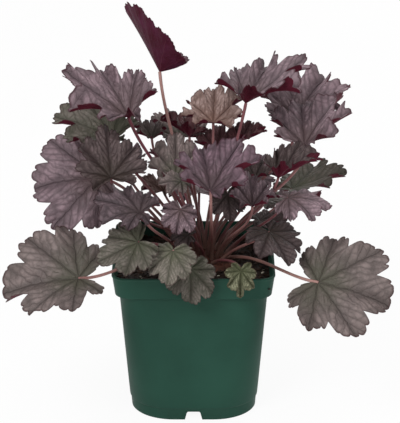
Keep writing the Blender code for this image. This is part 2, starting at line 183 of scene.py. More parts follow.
# The part's leaf table, and how each margin is cut: round, fine, or frilled where it isn't said.
LEAF_FIELDS = "name junction bearing pitch roll length cup fold curl pleat neck tone edge"
Leaf = namedtuple("Leaf", LEAF_FIELDS, defaults=("frilled",))
LEAVES = (
    Leaf("leaf_top_fan", (-24, 28, 239), 164, 21, -28, 57, 37, 0, 0, 2, 60, "burgundy", "fine"),
    Leaf("leaf_upper_left", (-45, -16, 219), 162, -2, 14, 56, 44, 0, -8, 6, 80, "purple"),
    Leaf("leaf_left_green", (-57, 6, 196), 166, 0, 14, 46, 30, 0, -5, 5, 75, "green"),
    Leaf("leaf_broad_left", (-67, -6, 171), -172, 0, 55, 54, 0, 8, -12, 5, 35, "purple", "round"),
    Leaf("leaf_dark_left", (-57, -41, 184), 100, 34, 0, 37, 25, 0, -5, 6, 75, "dark"),
    Leaf("leaf_left_lower", (-37, -61, 165), 165, 2, 14, 34, 26, 0, -5, 6, 65, "purple"),
    Leaf("leaf_side_left", (-80, -60, 116), 180, -4, 27, 56, 0, 22, -5, 4, 8, "grey", "round"),
    Leaf("leaf_side_right", (87, -60, 113), -14, -7, -36, 56, 0, 8, -5, 4, 8, "grey", "round"),
    Leaf("leaf_rim_left", (-38, -70, 147), -165, -22, 40, 30, 5, 0, -8, 6, 55, "green", "round"),
    Leaf("leaf_rim_front", (-14, -69, 140), -105, -40, 5, 25, 0, 0, -15, 5, 55, "green", "round"),
    Leaf("leaf_rim_middle", (-3, -36, 139), 172, -5, 22, 15, 0, 0, -10, 6, 65, "dark", "round"),
    Leaf("leaf_front_drape", (-2, -59, 123), -90, -76, 0, 26, 0, 0, 0, 8, 65, "green", "round"),
    Leaf("leaf_rim_curled", (33, -59, 121), -95, -72, 5, 18, 0, 25, 10, 8, 65, "olive", "round"),
    Leaf("leaf_right_lower", (53, -44, 144), -60, -22, 0, 31, 5, 0, -8, 6, 65, "dark", "round"),
    Leaf("leaf_right_cup", (59, -37, 182), 12, -6, 0, 36, 42, 0, 0, 6, 82, "dark"),
    Leaf("leaf_right_blade", (72, 42, 145), 8, 16, 6, 41, 0, 12, 0, 4, 50, "green", "round"),
    Leaf("leaf_right_purple", (66, -44, 170), -5, 5, -10, 31, 0, 5, -20, 6, 65, "purple"),
    Leaf("leaf_high_right", (79, 4, 192), 45, 16, 0, 48, 34, 0, -5, 7, 80, "purple"),
    Leaf("leaf_high_back", (76, 48, 196), 60, 8, 0, 52, 38, 0, -8, 7, 85, "grey"),
    Leaf("leaf_high_middle", (37, 5, 223), 22, -7, 2, 53, 40, 0, -5, 6, 85, "purple"),
    Leaf("leaf_pleated_top", (14, 12, 206), 88, 12, 0, 34, 22, 0, 0, 9, 85, "olive"),
    Leaf("leaf_burgundy_back", (-3, 34, 188), 150, 0, -15, 28, 33, 0, 0, 8, 80, "dark"),
    Leaf("leaf_upper_middle", (-30, 26, 189), 120, 0, 0, 20, 35, 0, 0, 8, 80, "grey"),
    Leaf("leaf_pleated_centre", (-12, -17, 176), 93, 14, 0, 33, 36, 0, -5, 11, 85, "grey"),
    Leaf("leaf_front_purple", (12, -58, 180), 55, 12, -5, 47, 36, 0, -5, 7, 85, "purple"),
    Leaf("leaf_small_upper", (33, 16, 190), 20, 0, 0, 23, 33, 0, 0, 7, 80, "dark"),
    Leaf("leaf_puckered_right", (41, -43, 163), 95, 10, 0, 27, 40, 0, -5, 8, 85, "purple"),
    Leaf("leaf_edge_right", (44, 18, 162), 110, 0, 0, 22, 30, 0, 0, 7, 80, "dark"),
    Leaf("leaf_dark_centre", (24, -26, 166), -80, -50, -10, 20, 5, 0, -10, 8, 70, "dark"),
    Leaf("leaf_star", (-9, -47, 162), -110, -55, 15, 19, 0, 0, -5, 10, 65, "purple"),
    Leaf("leaf_brown_centre", (-22, 24, 150), 150, 0, 10, 20, 25, 0, 0, 10, 75, "olive"),
    Leaf("leaf_grey_centre", (-8, -47, 183), 190, 0, 20, 17, 10, 0, -10, 8, 75, "grey"),
    Leaf("leaf_back_left", (-50, 46, 162), 140, 8, 0, 34, 15, 0, -10, 8, 70, "purple"),
    Leaf("leaf_back_high", (-10, 56, 180), 100, 5, 0, 32, 20, 0, -5, 10, 75, "grey"),
    Leaf("leaf_back_right", (38, 52, 150), 60, 5, 0, 32, 15, 0, -10, 6, 75, "purple"),
    Leaf("leaf_low_back_left", (-50, 54, 128), 130, -5, 0, 32, 5, 0, -15, 6, 55, "green", "round"),
    Leaf("leaf_low_back_right", (54, 60, 130), 40, -5, 0, 34, 5, 0, -12, 6, 55, "grey", "round"),
    Leaf("leaf_low_back", (4, 66, 134), 88, -5, 0, 34, 5, 0, -12, 6, 60, "purple", "round"),
    Leaf("leaf_dark_right", (48, 13, 131), 20, 0, 0, 23, 10, 0, -5, 8, 65, "dark", "round"),
    Leaf("leaf_inner_back", (17, 31, 177), 82, 12, 0, 25, 32, 0, 0, 9, 80, "dark"),
)

# How a margin is cut: how deep and how sharp the gaps between lobes are, how round a lobe's end is,
# the teeth to a lobe, their depth and how pointed they are, how much the edge ruffles (degrees), how
# much the panels puff up, the share of the pleats that shows, the depth of the smallest teeth, and
# how far the whole margin is drawn in.
Edge = namedtuple("Edge", "notch narrow scallop teeth depth pointed ruffle pucker crease small trim")
EDGES = {
    "round": Edge(0.14, 9.0, 0.07, 5, 0.052, 0.0, 2.5, 0.006, 1.0, 0.008, 0.0),
    "frilled": Edge(0.19, 6.0, 0.05, 5, 0.065, 0.0, 5.0, 0.008, 1.0, 0.04, 0.0),
    "fine": Edge(0.05, 3.0, 0.0, 3, 0.05, 0.1, 0.6, 0.0, 0.0, 0.03, 0.035),
}

# Extra droop (degrees) of a ruffled blade that would otherwise cut through the one above it.
DROOPS = {"leaf_left_lower": 10, "leaf_broad_left": 3}

# Leaves lighter or darker than their tone, and how red each stalk is, from 0 (pale) to 1.
LIGHTS = {
    "leaf_star": 1.2,
    "leaf_upper_left": 1.05,
    "leaf_pleated_top": 1.16,
    "leaf_left_green": 1.1,
    "leaf_high_back": 1.15,
    "leaf_high_right": 1.1,
    "leaf_right_purple": 1.1,
    "leaf_rim_front": 1.38,
    "leaf_rim_left": 1.05,
    "leaf_inner_back": 0.95,
    "leaf_pleated_centre": 1.2,
    "leaf_front_drape": 0.95,
    "leaf_side_left": 0.93,
    "leaf_side_right": 0.90,
    "leaf_broad_left": 0.94,
    "leaf_high_middle": 0.94,
    "leaf_front_purple": 0.88,
    "leaf_right_lower": 0.86,
    "leaf_rim_middle": 0.85,
    "leaf_left_lower": 0.55,
}
REDNESS = {
    "leaf_top_fan": 0.1,
    "leaf_upper_left": 1.0,
    "leaf_high_middle": 0.8,
    "leaf_side_left": 0.15,
    "leaf_side_right": 0.0,
    "leaf_front_purple": 0.3,
    "leaf_right_cup": 0.7,
}
USUAL_REDNESS = 0.6
REDNESS_VARIETY = 0.25
LIGHT_VARIETY = 0.06
LEAF_SEED_STEP = 1.7

# Leaf colours (sRGB, 0 to 1): the silvery panel between veins, the shade beside them, the vein,
# the heart of the leaf around its stalk, and the margin.
Tone = namedtuple("Tone", "panel shade vein heart edge")
TONES = {
    "purple": Tone((0.61, 0.52, 0.55), (0.39, 0.33, 0.35), (0.24, 0.17, 0.19),
                   (0.36, 0.29, 0.29), (0.28, 0.16, 0.19)),
    "grey": Tone((0.56, 0.50, 0.49), (0.38, 0.34, 0.33), (0.25, 0.21, 0.20),
                 (0.33, 0.33, 0.27), (0.30, 0.21, 0.21)),
    "green": Tone((0.47, 0.44, 0.41), (0.33, 0.32, 0.28), (0.24, 0.22, 0.20),
                  (0.29, 0.30, 0.23), (0.26, 0.20, 0.19)),
    "olive": Tone((0.66, 0.57, 0.55), (0.46, 0.37, 0.34), (0.30, 0.18, 0.18),
                  (0.44, 0.33, 0.29), (0.30, 0.15, 0.15)),
    "dark": Tone((0.42, 0.36, 0.36), (0.27, 0.22, 0.22), (0.16, 0.11, 0.11),
                 (0.22, 0.18, 0.15), (0.20, 0.11, 0.12)),
    "wine": Tone((0.42, 0.27, 0.29), (0.30, 0.17, 0.18), (0.19, 0.09, 0.10),
                 (0.30, 0.12, 0.14), (0.20, 0.09, 0.11)),
    "mauve": Tone((0.58, 0.47, 0.52), (0.36, 0.29, 0.32), (0.22, 0.15, 0.18),
                  (0.34, 0.27, 0.28), (0.30, 0.16, 0.21)),
    "patched": Tone((0.64, 0.64, 0.53), (0.33, 0.34, 0.25), (0.26, 0.25, 0.19),
                    (0.36, 0.38, 0.27), (0.34, 0.30, 0.22)),
    "burgundy": Tone((0.46, 0.34, 0.38), (0.34, 0.22, 0.26), (0.24, 0.12, 0.16),
                     (0.34, 0.21, 0.22), (0.24, 0.10, 0.14)),
}
OTHER_TOPS = {
    "leaf_rim_curled": "patched",
    "leaf_high_back": "purple",
    "leaf_front_purple": "mauve",
    "leaf_burgundy_back": "wine",
    "leaf_inner_back": "wine",
    "leaf_small_upper": "wine",
}
UNDERSIDE = (0.35, 0.125, 0.18)
UNDERSIDE_DEEP = (0.28, 0.09, 0.14)
UNDERSIDE_VEIN = (0.40, 0.20, 0.25)
FAN_UNDERSIDE = (0.33, 0.145, 0.23)
FAN_DEEP = (0.27, 0.085, 0.14)
STALK_PALE = (0.66, 0.50, 0.47)
STALK_WINE = (0.44, 0.20, 0.25)
STALK_TAN = (0.50, 0.37, 0.33)
STALK_RED = (0.38, 0.19, 0.21)
# Tan of the stalk bases near the crown, made paler as painted light that lifts the shade under the
# leaves.
STALK_BASE = (0.52, 0.40, 0.36)
POT_GREEN = (0.165, 0.31, 0.26)
# POT_DARK is the pot's random darker clouding, and also the painted shade at its foot.
POT_DARK = (0.14, 0.27, 0.225)
POT_SCUFF = (0.26, 0.38, 0.32)
SOIL_DARK = (0.11, 0.08, 0.065)
SOIL_BROWN = (0.20, 0.14, 0.10)
SOIL_FIBRE = (0.36, 0.26, 0.18)
PERLITE_PITTED = (0.46, 0.43, 0.38)
PERLITE_PALE = (0.68, 0.66, 0.60)
CROWN_DARK = (0.28, 0.19, 0.16)
CROWN_RED = (0.44, 0.27, 0.22)

# Stage: lamps are (name, place, size, level), where level 1 lights a facing surface to its own colour.
CAMERA_TARGET = (0.0046, 0, 0.143)
CAMERA_ELEVATION = 20.7
CAMERA_DISTANCE = 1.7
CAMERA_FRAME_HEIGHT = 0.3025
FLOOR_SIZE = 14
FLOOR_DROP = 0.0002
FLOOR_WHITENING = 0.93
WORLD_LEVEL = 0.42
LAMP_TARGET = (0, 0, 0.15)
LAMPS = (
    ("key_lamp", (-0.9, -1.5, 1.7), 0.9, 0.50),
    ("fill_lamp", (1.5, -1.3, 0.9), 1.2, 0.16),
    ("top_lamp", (0.2, 0.3, 2.0), 1.2, 0.22),
    ("back_lamp", (0.7, 1.9, 1.1), 1.2, 0.20),
)


# ---- shader graphs


def linear(colour):
    """An sRGB colour as the linear values that a shader takes."""
    channels = []
    for c in colour:
        channels.append(c / 12.92 if c <= 0.04045 else ((c + 0.055) / 1.055) ** 2.4)
    return (*channels, 1.0)


def polar(distance, angle, x=0.0, y=0.0):
    """Place at a distance and an angle from (x, y), in a plane."""
    return x + distance * cos(angle), y + distance * sin(angle)


def place_object(name, data):
    obj = bpy.data.objects.new(name, data)
    bpy.context.scene.collection.objects.link(obj)
    return obj


class Graph:
    """Node tree of a material or world, with short calls that add a node and return its output."""

    def __init__(self, name, world=False):
        self.owner = bpy.data.worlds.new(name) if world else bpy.data.materials.new(name)
        self.owner.use_nodes = True
        self.nodes = self.owner.node_tree.nodes
        self.links = self.owner.node_tree.links
        self.shader = self.nodes["Background" if world else "Principled BSDF"]

    def feed(self, socket, value):
        """Link a socket to another node's output, or set it. Three numbers are an sRGB colour."""
        if isinstance(value, bpy.types.NodeSocket):
            self.links.new(value, socket)
        elif socket.type == "RGBA" and len(value) == 3:
            socket.default_value = linear(value)
        else:
            socket.default_value = value

    def node(self, kind, inputs=(), **settings):
        """A new node with its settings, and its inputs in their order or by name."""
        node = self.nodes.new("ShaderNode" + kind)
        for name, value in settings.items():
            setattr(node, name, value)
        for key, value in inputs.items() if isinstance(inputs, dict) else enumerate(inputs):
            self.feed(node.inputs[key], value)
        return node

    def math(self, operation, first, second=0.0, third=0.0):
        return self.node("Math", (first, second, third), operation=operation).outputs[0]

    def times(self, first, second):
        return self.math("MULTIPLY", first, second)

    def line(self, value, slope, start):
        """The value times the slope, plus the start."""
        return self.math("MULTIPLY_ADD", value, slope, start)

    def most(self, first, second):
        return self.math("MAXIMUM", first, second)

    def rise(self, value, low, high, bottom=0.0, top=1.0):
        """Smooth step of a value from low to high."""
        inputs = (value, low, high, bottom, top)
        return self.node("MapRange", inputs, interpolation_type="SMOOTHSTEP").outputs[0]

    def mix(self, share, first, second, blend="MIX"):
        inputs = {"Factor": share, 6: first, 7: second}
        return self.node("Mix", inputs, data_type="RGBA", blend_type=blend).outputs[2]

    def darken(self, colour, light):
        return self.mix(1.0, colour, light, "MULTIPLY")

    def coordinates(self, uv_name):
        return self.node("UVMap", uv_map=uv_name).outputs[0]

    def position(self):
        return self.node("TexCoord").outputs["Object"]

    def attribute(self, name):
        return self.node("Attribute", attribute_name=name).outputs["Fac"]

    def split(self, vector):
        return self.node("SeparateXYZ", (vector,)).outputs

    def stretch(self, vector, factors):
        return self.node("VectorMath", (vector, factors), operation="MULTIPLY").outputs[0]

    def noise(self, vector, scale, detail=3.0, roughness=0.55):
        inputs = {"Vector": vector, "Scale": scale, "Detail": detail, "Roughness": roughness}
        return self.node("TexNoise", inputs).outputs["Fac"]

    def cells(self, vector, scale, feature="DISTANCE_TO_EDGE"):
        inputs = {"Vector": vector, "Scale": scale}
        return self.node("TexVoronoi", inputs, feature=feature).outputs["Distance"]

    def bump(self, height, distance, strength=1.0):
        node = self.node("Bump", {"Distance": distance, "Strength": strength, "Height": height})
        self.links.new(node.outputs[0], self.shader.inputs["Normal"])

    def finish(self, colour, roughness, reflection=0.3):
        inputs = {"Base Color": colour, "Roughness": roughness, "Specular IOR Level": reflection}
        for name, value in inputs.items():
            self.feed(self.shader.inputs[name], value)
        return self.owner


def vein_fields(graph):
    """The vein pattern of a blade: (any vein, main vein, panel between veins) as 0 to 1."""
    flat = graph.coordinates("Blade")
    along, across, _ = graph.split(graph.coordinates("Veins"))
    wander = graph.math("SUBTRACT", graph.noise(flat, 6.0, 3.0), 0.5)
    across = graph.line(wander, 0.06, across)
    along = graph.line(wander, 0.16, along)
    side = graph.math("ABSOLUTE", across)
    width = graph.line(along, -0.005, 0.0075)
    main = graph.rise(side, graph.times(width, 0.2), graph.times(width, 2.4), 1.0, 0.0)
    bend = graph.line(side, -VEIN_CURVE, -VEIN_SLANT)
    left = graph.math("GREATER_THAN", across, 0.0)
    chevron = graph.line(left, VEIN_STEP / 2, graph.line(side, bend, along))
    branch = graph.math("PINGPONG", chevron, VEIN_STEP / 2)
    started = graph.rise(along, 0.12, 0.28)
    strength = graph.times(graph.rise(side, 0.03, 0.30, 0.55, 0.1375), started)
    branches = graph.times(graph.rise(branch, 0.0, 0.012, 1.0, 0.0), strength)
    twig = graph.cells(flat, 8.5)
    twigs = graph.rise(twig, 0.0, 0.09, 0.28, 0.0)
    net = graph.rise(graph.cells(flat, 26.0), 0.02, 0.16, 0.12, 0.0)
    veins = graph.most(graph.most(main, branches), graph.most(twigs, net))
    open_side = graph.rise(side, 0.0, 0.08)
    beside = graph.line(started, -0.06, graph.math("ADD", branch, 0.06))
    open_branch = graph.rise(beside, 0.0, 0.055)
    panel = graph.times(open_side, graph.line(open_branch, 0.5, 0.5))
    panel = graph.times(panel, graph.rise(twig, 0.0, 0.24, 0.7, 1.0))
    return veins, main, panel


def top_material(tone, colours):
    """Upper face: silvery panels, dark impressed veins, a green heart and a thin dark margin."""
    graph = Graph(f"leaf_top_{tone}")
    flat = graph.coordinates("Blade")
    veins, _, panel = vein_fields(graph)
    rim = graph.attribute("rim")
    mottle = graph.noise(flat, 4.5, 4.0)
    silver = graph.times(panel, graph.rise(mottle, 0.34, 0.62, 0.15, 1.0))
    colour = graph.mix(silver, colours.shade, colours.panel)
    far = graph.node("VectorMath", (flat,), operation="LENGTH").outputs["Value"]
    spread = graph.line(graph.noise(flat, 3.0, 2.0), 0.5, far)
    heart = graph.rise(spread, 0.35, 0.85, 0.80, 0.0)
    heart = graph.times(heart, graph.line(silver, -0.4, 1.0))
    colour = graph.mix(heart, colour, colours.heart)
    colour = graph.mix(graph.times(veins, 0.43), colour, colours.vein)
    colour = graph.mix(graph.rise(rim, 0.955, 0.995, 0.0, 0.85), colour, colours.edge)
    grain = graph.noise(flat, 60.0, 2.0)
    colour = graph.darken(colour, graph.times(graph.line(grain, 0.2, 0.90), graph.attribute("light")))
    height = graph.line(veins, -0.8, graph.times(panel, 0.8))
    height = graph.line(grain, 0.12, height)
    graph.bump(height, 0.0009, 0.8)
    return graph.finish(colour, graph.line(mottle, 0.15, 0.48))


def under_material(name, deep, usual):
    """Lower face: wine red, with raised paler veins."""
    graph = Graph(name)
    flat = graph.coordinates("Blade")
    veins, main, panel = vein_fields(graph)
    mottle = graph.noise(flat, 4.0, 4.0)
    colour = graph.mix(graph.rise(mottle, 0.3, 0.7), deep, usual)
    strong = graph.most(main, graph.times(veins, 0.3))
    colour = graph.mix(graph.times(strong, 0.4), colour, UNDERSIDE_VEIN)
    grain = graph.noise(flat, 70.0, 2.0)
    height = graph.line(veins, 0.8, graph.times(panel, -0.5))
    height = graph.line(grain, 0.15, height)
    graph.bump(height, 0.0005, 0.7)
    return graph.finish(colour, graph.line(mottle, 0.15, 0.48), 0.05)


def stalk_material():
    """Stalk: pinkish where it meets the blade, redder below, a tan base made paler with painted light,
    and fine lengthwise streaks.
    """
    graph = Graph("leaf_stalk")
    along = graph.split(graph.coordinates("Blade"))[0]
    where = graph.position()
    red = graph.attribute("rim")
    streak = graph.noise(graph.stretch(where, (900.0, 900.0, 60.0)), 1.0, 3.0)
    blotch = graph.noise(where, 55.0, 3.0)
    low = graph.mix(red, STALK_TAN, STALK_RED)
    colour = graph.mix(red, STALK_PALE, STALK_WINE)
    colour = graph.mix(graph.rise(along, 0.25, 0.85), colour, low)
    # Paler tan at the base: partly the stalk's own colour, partly painted light lifting the shade round
    # the crown.
    colour = graph.mix(graph.rise(along, 0.8, 1.0), colour, STALK_BASE)
    colour = graph.mix(graph.rise(blotch, 0.42, 0.66, 0.0, 0.35), colour, STALK_RED)
    colour = graph.darken(colour, graph.line(streak, 0.5, 0.75))
    graph.bump(streak, 0.0002, 0.7)
    return graph.finish(colour, 0.45, 0.4)


def pot_material():
    """Moulded satin plastic: faint flow streaks, fine grain, dulled handling marks, and painted shade
    at its foot.
    """
    graph = Graph("pot_plastic_fine")
    where = graph.position()
    height = graph.split(where)[2]
    cloud = graph.noise(where, 14.0, 4.0)
    flow = graph.noise(graph.stretch(where, (40.0, 40.0, 7.0)), 1.0, 4.0)
    grain = graph.noise(where, 1500.0, 2.0)
    scuff = graph.noise(graph.stretch(where, (120.0, 120.0, 520.0)), 1.0, 6.0, 0.7)
    colour = graph.mix(graph.rise(cloud, 0.3, 0.7), POT_DARK, POT_GREEN)
    # Painted shade: the lowest 3 cm darken towards POT_DARK, most where the pot meets the floor.
    colour = graph.mix(graph.rise(height, 0.0, 0.03, 0.4, 0.0), colour, POT_DARK)
    colour = graph.mix(graph.rise(scuff, 0.62, 0.74, 0.0, 0.22), colour, POT_SCUFF)
    rough = graph.line(flow, 0.20, graph.rise(scuff, 0.55, 0.75, 0.42, 0.60))
    graph.bump(graph.line(grain, 0.25, graph.times(flow, 0.6)), 0.00025, 0.6)
    return graph.finish(colour, rough, 0.10)


def soil_material(name, light):
    """Damp peat and bark: dark crumbs with paler fibres."""
    graph = Graph(name)
    where = graph.position()
    lumps = graph.noise(where, 260.0, 6.0, 0.7)
    crumbs = graph.cells(where, 900.0, "F1")
    fibres = graph.noise(graph.stretch(where, (1400.0, 160.0, 900.0)), 1.0, 3.0)
    colour = graph.mix(graph.rise(lumps, 0.35, 0.72), SOIL_DARK, SOIL_BROWN)
    colour = graph.mix(graph.rise(fibres, 0.66, 0.74, 0.0, 0.5), colour, SOIL_FIBRE)
    colour = graph.darken(colour, light)
    graph.bump(graph.line(crumbs, 0.5, lumps), 0.0012)
    return graph.finish(colour, graph.rise(lumps, 0.3, 0.7, 0.72, 0.95))


def perlite_material(name):
    """Pale, finely pitted grains."""
    graph = Graph(name)
    where = graph.position()
    pits = graph.noise(where, 900.0, 4.0)
    colour = graph.mix(graph.rise(pits, 0.3, 0.6), PERLITE_PITTED, PERLITE_PALE)
    graph.bump(pits, 0.0003)
    return graph.finish(colour, 0.9)


def crown_material():
    """Woody crown: dark fibres and reddish bases of old stalks."""
    graph = Graph("crown_bark")
    where = graph.position()
    lumps = graph.noise(where, 190.0, 5.0, 0.65)
    fibres = graph.noise(graph.stretch(where, (900.0, 900.0, 90.0)), 1.0, 4.0)
    colour = graph.mix(graph.rise(lumps, 0.35, 0.65), CROWN_DARK, CROWN_RED)
    colour = graph.darken(colour, graph.line(fibres, 0.8, 0.6))
    graph.bump(graph.line(fibres, 0.6, lumps), 0.001)
    return graph.finish(colour, 0.8)


def floor_material():
    """Pale floor that the camera sees as near white, and that still takes the object's shadow."""
    graph = Graph("studio_floor")
    graph.finish((0.93, 0.93, 0.93, 1.0), 0.8, 0.2)
    glow = graph.node("Emission", {"Strength": 1.0})
    path = graph.node("LightPath").outputs
    seen = graph.most(path["Is Camera Ray"], path["Is Glossy Ray"])
    seen = graph.most(seen, path["Is Transmission Ray"])
    share = graph.times(seen, FLOOR_WHITENING)
    blend = graph.node("MixShader", (share, graph.shader.outputs[0], glow.outputs[0]))
    graph.links.new(blend.outputs[0], graph.nodes["Material Output"].inputs["Surface"])
    return graph.owner


# ---- leaves


def outline(theta, seed, edge):
    """Distance from the junction to the margin, as a share of the leaf's length."""
    turn = np.abs(theta)
    last_lobe = SIDE_LOBES * LOBE_SPACING
    reach = 1 - (1 - BASAL_REACH) * (turn / last_lobe) ** TAPER_POWER
    share = np.clip((turn - last_lobe) / (pi - last_lobe), 0, 1)
    cleft = BASAL_REACH + (CLEFT_REACH - BASAL_REACH) * share * share * (3 - 2 * share)
    reach = np.where(turn > last_lobe, cleft, reach)
    phase = theta / LOBE_SPACING
    lobed = turn <= LOBE_REACH
    notch = np.where(lobed, ((1 - np.cos(tau * phase)) / 2) ** edge.narrow, 1 - share**2)
    off_lobe = np.where(lobed, 2 * (phase - np.round(phase)), 0)
    reach = reach * (1 - edge.scallop * off_lobe**2)
    rounded = 1 - np.abs(np.cos(edge.teeth * pi * phase)) ** ROUND_TOOTH
    pointed = np.abs(np.sin(edge.teeth * pi * phase)) ** POINTED_TOOTH
    tooth = rounded * (1 - edge.pointed) + pointed * edge.pointed
    depth = edge.depth * (1 + TOOTH_VARIETY * np.sin(7 * theta + 3 * seed))
    tooth = np.where(lobed, tooth, 0.5) * depth
    small = np.abs(np.sin(SMALL_TEETH * pi * phase + 0.6 * np.sin(9 * theta + seed)))
    tooth = tooth + edge.small * np.where(lobed, 1 - small, 0)
    uneven = 1 + UNEVEN_WIDE * np.sin(3 * theta + seed) + UNEVEN_FINE * np.sin(5 * theta + 2 * seed)
    return reach * (1 - edge.notch * notch) * (1 - tooth) * uneven * (1 - edge.trim)


def blade_columns():
    """Angles round the junction, evenly spaced in every lobe and again in the cleft."""
    lobes = (2 * SIDE_LOBES + 1) * COLUMNS_PER_LOBE
    side = np.linspace(LOBE_REACH, pi, CLEFT_COLUMNS + 1)
    main = np.linspace(-LOBE_REACH, LOBE_REACH, lobes + 1)
    return np.concatenate((-side[:0:-1], main[:-1], side[:-1]))


def vein_place(theta, reach, lobe):
    """Place along and across the main vein of a lobe, in shares of the leaf's length."""
    turned = theta - lobe * LOBE_SPACING
    return reach * np.cos(turned), reach * np.sin(turned)


def blade_grid(leaf, seed, edge, shares):
    """Points of the upper face, ring by ring, in the blade's own frame."""
    theta = blade_columns()[None, :]
    share = np.array(shares)[:, None]
    length = leaf.length * MM
    reach = outline(theta, seed, edge) * share
    phase = theta / LOBE_SPACING
    lobed = np.abs(theta) <= LOBE_REACH
    fold = 1 - 2 * np.abs(np.sin(pi * phase)) ** PLEAT_SHARPNESS
    buckle = edge.crease * np.where(lobed, -leaf.pleat * fold, leaf.pleat)
    wave = BLADE_WAVE * np.sin(2 * theta + seed)
    ruffle = np.sin(1.5 * tau * phase + seed) + 0.5 * np.sin(2.5 * tau * phase + 2 * seed)
    ruffle = edge.ruffle * np.where(lobed, ruffle, 0) * share**3
    lobe = np.clip(np.round(phase), -SIDE_LOBES, SIDE_LOBES)
    along, across = vein_place(theta, reach, lobe)
    side = np.abs(across)
    chevron = along - (VEIN_SLANT + VEIN_CURVE * side) * side + np.where(across > 0, VEIN_STEP / 2, 0)
    puff = np.abs(np.sin(pi * chevron / VEIN_STEP)) ** PUFF_FULLNESS
    puff = puff * np.clip(side / PUFF_FROM_VEIN, 0, 1) * np.clip((along - PUFF_START) / PUFF_RISE, 0, 1)
    lift = edge.pucker * puff * np.clip((1 - share) / PUFF_MARGIN, PUFF_AT_MARGIN, 1)
    lift = np.degrees(lift / np.maximum(reach, PUFF_INNERMOST))
    curl = leaf.curl - DROOPS.get(leaf.name, 0)
    rise = np.radians(leaf.cup + (curl + buckle + wave) * share + ruffle + lift)
    x = reach * length * np.cos(rise) * np.cos(theta)
    y = reach * length * np.cos(rise) * np.sin(theta)
    z = reach * length * np.sin(rise)
    side_share = np.clip(FOLD_SPREAD * np.sin(theta), -1, 1)
    turn = radians(leaf.fold) * side_share
    turned_y = y * np.cos(turn) - z * np.sin(turn)
    turned_z = y * np.sin(turn) + z * np.cos(turn)
    return np.stack((x, turned_y, turned_z), -1), reach


def grid_normals(points):
    """Unit normals of a ring grid whose columns close on themselves."""
    around = np.roll(points, -1, axis=1) - np.roll(points, 1, axis=1)
    outward = np.gradient(points, axis=0)
    normals = np.cross(outward, around)
    return normals / np.maximum(np.linalg.norm(normals, axis=2, keepdims=True), 1e-12)


def leaf_frame(leaf):
    """Matrix that takes a blade's own frame to the pot's: tip, left side, upper normal."""
    bearing, pitch, roll = (radians(a) for a in (leaf.bearing, leaf.pitch, leaf.roll))
    tip = Vector((*polar(cos(pitch), bearing), sin(pitch)))
    level_left = Vector((-sin(bearing), cos(bearing), 0))
    up = tip.cross(level_left)
    normal = up * cos(roll) + level_left * sin(roll)
    left = normal.cross(tip)
    matrix = Matrix((tip, left, normal)).transposed().to_4x4()
    matrix.translation = Vector(leaf.junction) * MM
    return matrix


def crown_azimuth(leaf):
    return atan2(leaf.junction[1] * MM - CROWN_Y, leaf.junction[0] * MM - CROWN_X)


def steepness(leaf):
    """Slope of the line from the crown to the junction, in radians."""
    x, y, z = (c * MM for c in leaf.junction)
    return atan2(z - SOIL_TOP, hypot(x - CROWN_X, y - CROWN_Y))


def crown_height(radius):
    """Top of the crown dome at a distance from its axis."""
    share = min(1.0, radius / CROWN_RADIUS)
    return SOIL_TOP + GAP + CROWN_EDGE + CROWN_HEIGHT * (1 - share * share)


def root_points():
    """Place the stalks on the crown: old low leaves outside, young steep ones inside."""
    order = sorted(LEAVES, key=steepness)
    roots = {}
    start = 0
    for radius, lift, share in ROOT_RINGS:
        count = round(share * len(order))
        group = sorted(order[start : start + count], key=crown_azimuth)
        start += count
        step = tau / len(group)
        drift = sum(crown_azimuth(leaf) - i * step for i, leaf in enumerate(group))
        offset = drift / len(group)
        for index, leaf in enumerate(group):
            place = polar(radius, offset + index * step, CROWN_X, CROWN_Y)
            roots[leaf.name] = Vector((*place, crown_height(radius) + lift))
    return roots


def stalk_path(leaf, root, matrix):
    """Centre line of the stalk, from the junction down to the crown."""
    top = matrix.translation
    neck = radians(leaf.neck)
    away = matrix.to_3x3() @ Vector((-cos(neck), 0, -sin(neck)))
    length = (top - root).length
    outward = Vector((*polar(1, crown_azimuth(leaf)), 0))
    slope = min(radians(STALK_STEEPEST), steepness(leaf) + radians(STALK_SPRING))
    leave = outward * cos(slope) + Vector((0, 0, sin(slope)))
    upper_handle = top + away * STALK_TOP_HANDLE * length
    lower_handle = root + leave * STALK_ROOT_HANDLE * length
    points = []
    for step in range(STALK_SEGMENTS + 1):
        t = step / STALK_SEGMENTS
        upper = top * (1 - t) ** 3 + upper_handle * 3 * t * (1 - t) ** 2
        lower = lower_handle * 3 * t * t * (1 - t) + root * t**3
        points.append(upper + lower)
    sunk = points[-1] - leave * 2 * STALK_BASE_RADIUS
    return points + [sunk]


class Shell:
    """Collects a mesh's points and faces, each face with its two UV places and its material.

    A point's rim value grows from 0 to 1 at a blade's margin. On a stalk it is how red the stalk is.
    """

    def __init__(self):
        self.points = []
        self.rims = []
        self.faces = []
        self.flat = []
        self.veins = []
        self.slots = []

    def add_points(self, points, rims):
        start = len(self.points)
        self.points.extend(points)
        self.rims.extend(rims)
        return start

    def add_face(self, corners, flat, veins, slot):
        self.faces.append(corners)
        self.flat.extend(flat)
        self.veins.extend(veins)
        self.slots.append(slot)

    def build(self, name, light, materials):
        mesh = bpy.data.meshes.new(name)
        mesh.from_pydata(self.points, [], self.faces)
        for layer, places in (("Blade", self.flat), ("Veins", self.veins)):
            layer = mesh.uv_layers.new(name=layer)
            layer.uv.foreach_set("vector", np.array(places, dtype=np.float32).ravel())
        for layer, values in (("rim", self.rims), ("light", [light] * len(self.points))):
            layer = mesh.attributes.new(layer, "FLOAT", "POINT")
            layer.data.foreach_set("value", np.array(values, dtype=np.float32))
        for material in materials:
            mesh.materials.append(material)
        mesh.polygons.foreach_set("material_index", np.array(self.slots, dtype=np.int32))
        mesh.shade_smooth()
        mesh.set_sharp_from_angle(angle=radians(BLADE_SHARP))
        return place_object(name, mesh)


